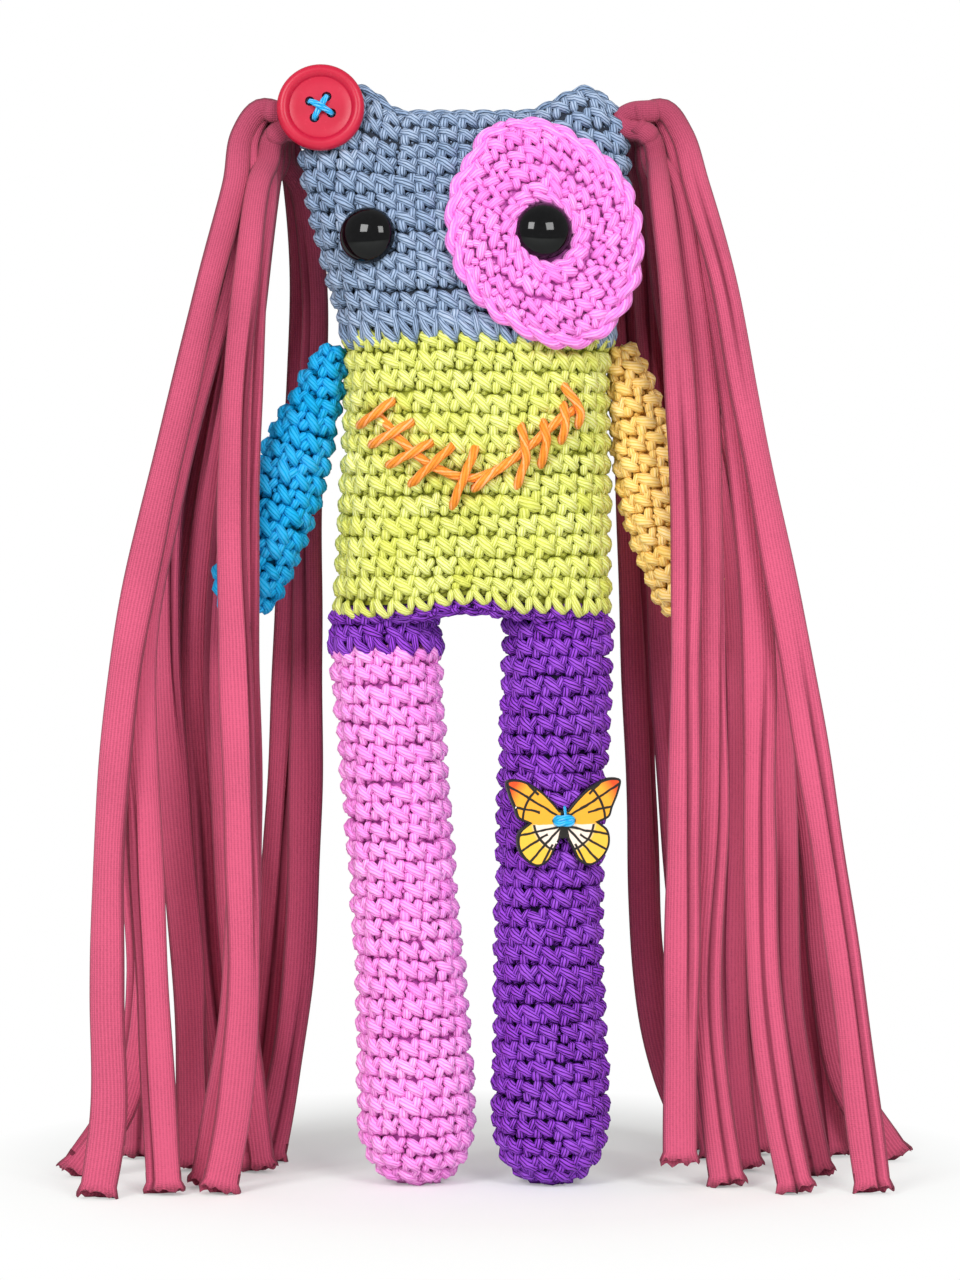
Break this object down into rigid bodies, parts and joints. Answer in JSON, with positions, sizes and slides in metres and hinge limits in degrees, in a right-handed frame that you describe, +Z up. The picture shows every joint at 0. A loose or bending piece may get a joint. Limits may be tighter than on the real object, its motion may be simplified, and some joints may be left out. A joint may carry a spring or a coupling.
{
  "type": "crochet doll",
  "caption": "Crocheted monster doll with a square pouch body, long sewn-on limbs, safety eyes, an eye patch and two long bunches of jersey hair.",
  "frame": {"origin": "on the table under the middle of the doll's own outline, without its hair", "axes": "+Z up along the doll, the face looks along -Y, +X to the right as seen from the front"},
  "size_m": [0.2609, 0.0914, 0.3372],
  "materials": {
    "yarn_grey_blue": "matte",
    "yarn_lime": "matte",
    "yarn_purple": "matte",
    "yarn_pink": "matte",
    "yarn_blue": "matte",
    "yarn_amber": "matte",
    "yarn_mouth_orange": "matte",
    "hair_jersey": "matte",
    "thread_cyan": "matte",
    "stuffing": "matte",
    "eye_plastic": "gloss",
    "washer_plastic": "satin",
    "button_plastic": "satin",
    "butterfly_wood": "satin"
  },
  "bodies": {
    "body": {"head_skin": "yarn_grey_blue", "torso_skin": "yarn_lime", "hip_band": "yarn_purple", "body_stuffing": "stuffing", "eye_patch": "yarn_pink", "mouth_stitching": "yarn_mouth_orange", "eye_left": "eye_plastic", "eye_washer_left": "washer_plastic", "eye_right": "eye_plastic", "eye_washer_right": "washer_plastic", "button": "button_plastic", "button_thread": "thread_cyan"},
    "leg_left": {"leg_left_skin": "yarn_pink", "leg_left_cuff": "yarn_purple", "leg_left_stuffing": "stuffing"},
    "leg_right": {"leg_right_skin": "yarn_purple", "leg_right_stuffing": "stuffing", "butterfly": "butterfly_wood", "butterfly_thread": "thread_cyan"},
    "arm_left": {"arm_left_skin": "yarn_blue", "arm_left_stuffing": "stuffing"},
    "arm_right": {"arm_right_skin": "yarn_amber", "arm_right_stuffing": "stuffing"},
    "pigtail_left": {"hair_knot_left": "hair_jersey", "hair_left_1": "hair_jersey", "hair_left_2": "hair_jersey", "hair_left_3": "hair_jersey", "hair_left_4": "hair_jersey", "hair_left_5": "hair_jersey", "hair_left_6": "hair_jersey", "hair_left_7": "hair_jersey", "hair_left_8": "hair_jersey", "hair_left_9": "hair_jersey", "hair_left_10": "hair_jersey", "hair_left_11": "hair_jersey", "hair_left_12": "hair_jersey"},
    "pigtail_right": {"hair_knot_right": "hair_jersey", "hair_right_1": "hair_jersey", "hair_right_2": "hair_jersey", "hair_right_3": "hair_jersey", "hair_right_4": "hair_jersey", "hair_right_5": "hair_jersey", "hair_right_6": "hair_jersey", "hair_right_7": "hair_jersey", "hair_right_8": "hair_jersey", "hair_right_9": "hair_jersey", "hair_right_10": "hair_jersey", "hair_right_11": "hair_jersey", "hair_right_12": "hair_jersey"}
  },
  "joints": [
    {"name": "hip_left", "type": "hinge", "parent": "body", "child": "leg_left", "pos_m": [-0.0267, 0.0019, 0.152], "axis": [-1, 0, 0], "range_deg": [-15, 90], "stiffness_Nm_per_rad": 0.4},
    {"name": "hip_right", "type": "hinge", "parent": "body", "child": "leg_right", "pos_m": [0.0241, 0.0019, 0.152], "axis": [-1, 0, 0], "range_deg": [-15, 90], "stiffness_Nm_per_rad": 0.4},
    {"name": "shoulder_left", "type": "hinge", "parent": "body", "child": "arm_left", "pos_m": [-0.0457, 0.0019, 0.246], "axis": [0, 1, 0], "range_deg": [0, 75]},
    {"name": "shoulder_right", "type": "hinge", "parent": "body", "child": "arm_right", "pos_m": [0.0465, 0.0019, 0.246], "axis": [0, -1, 0], "range_deg": [0, 75]},
    {"name": "hair_left_swing", "type": "hinge", "parent": "body", "child": "pigtail_left", "pos_m": [-0.0593, 0.0059, 0.3205], "axis": [0, 1, 0], "range_deg": [0, 65]},
    {"name": "hair_right_swing", "type": "hinge", "parent": "body", "child": "pigtail_right", "pos_m": [0.051, 0.0059, 0.3205], "axis": [0, -1, 0], "range_deg": [0, 65]}
  ]
}
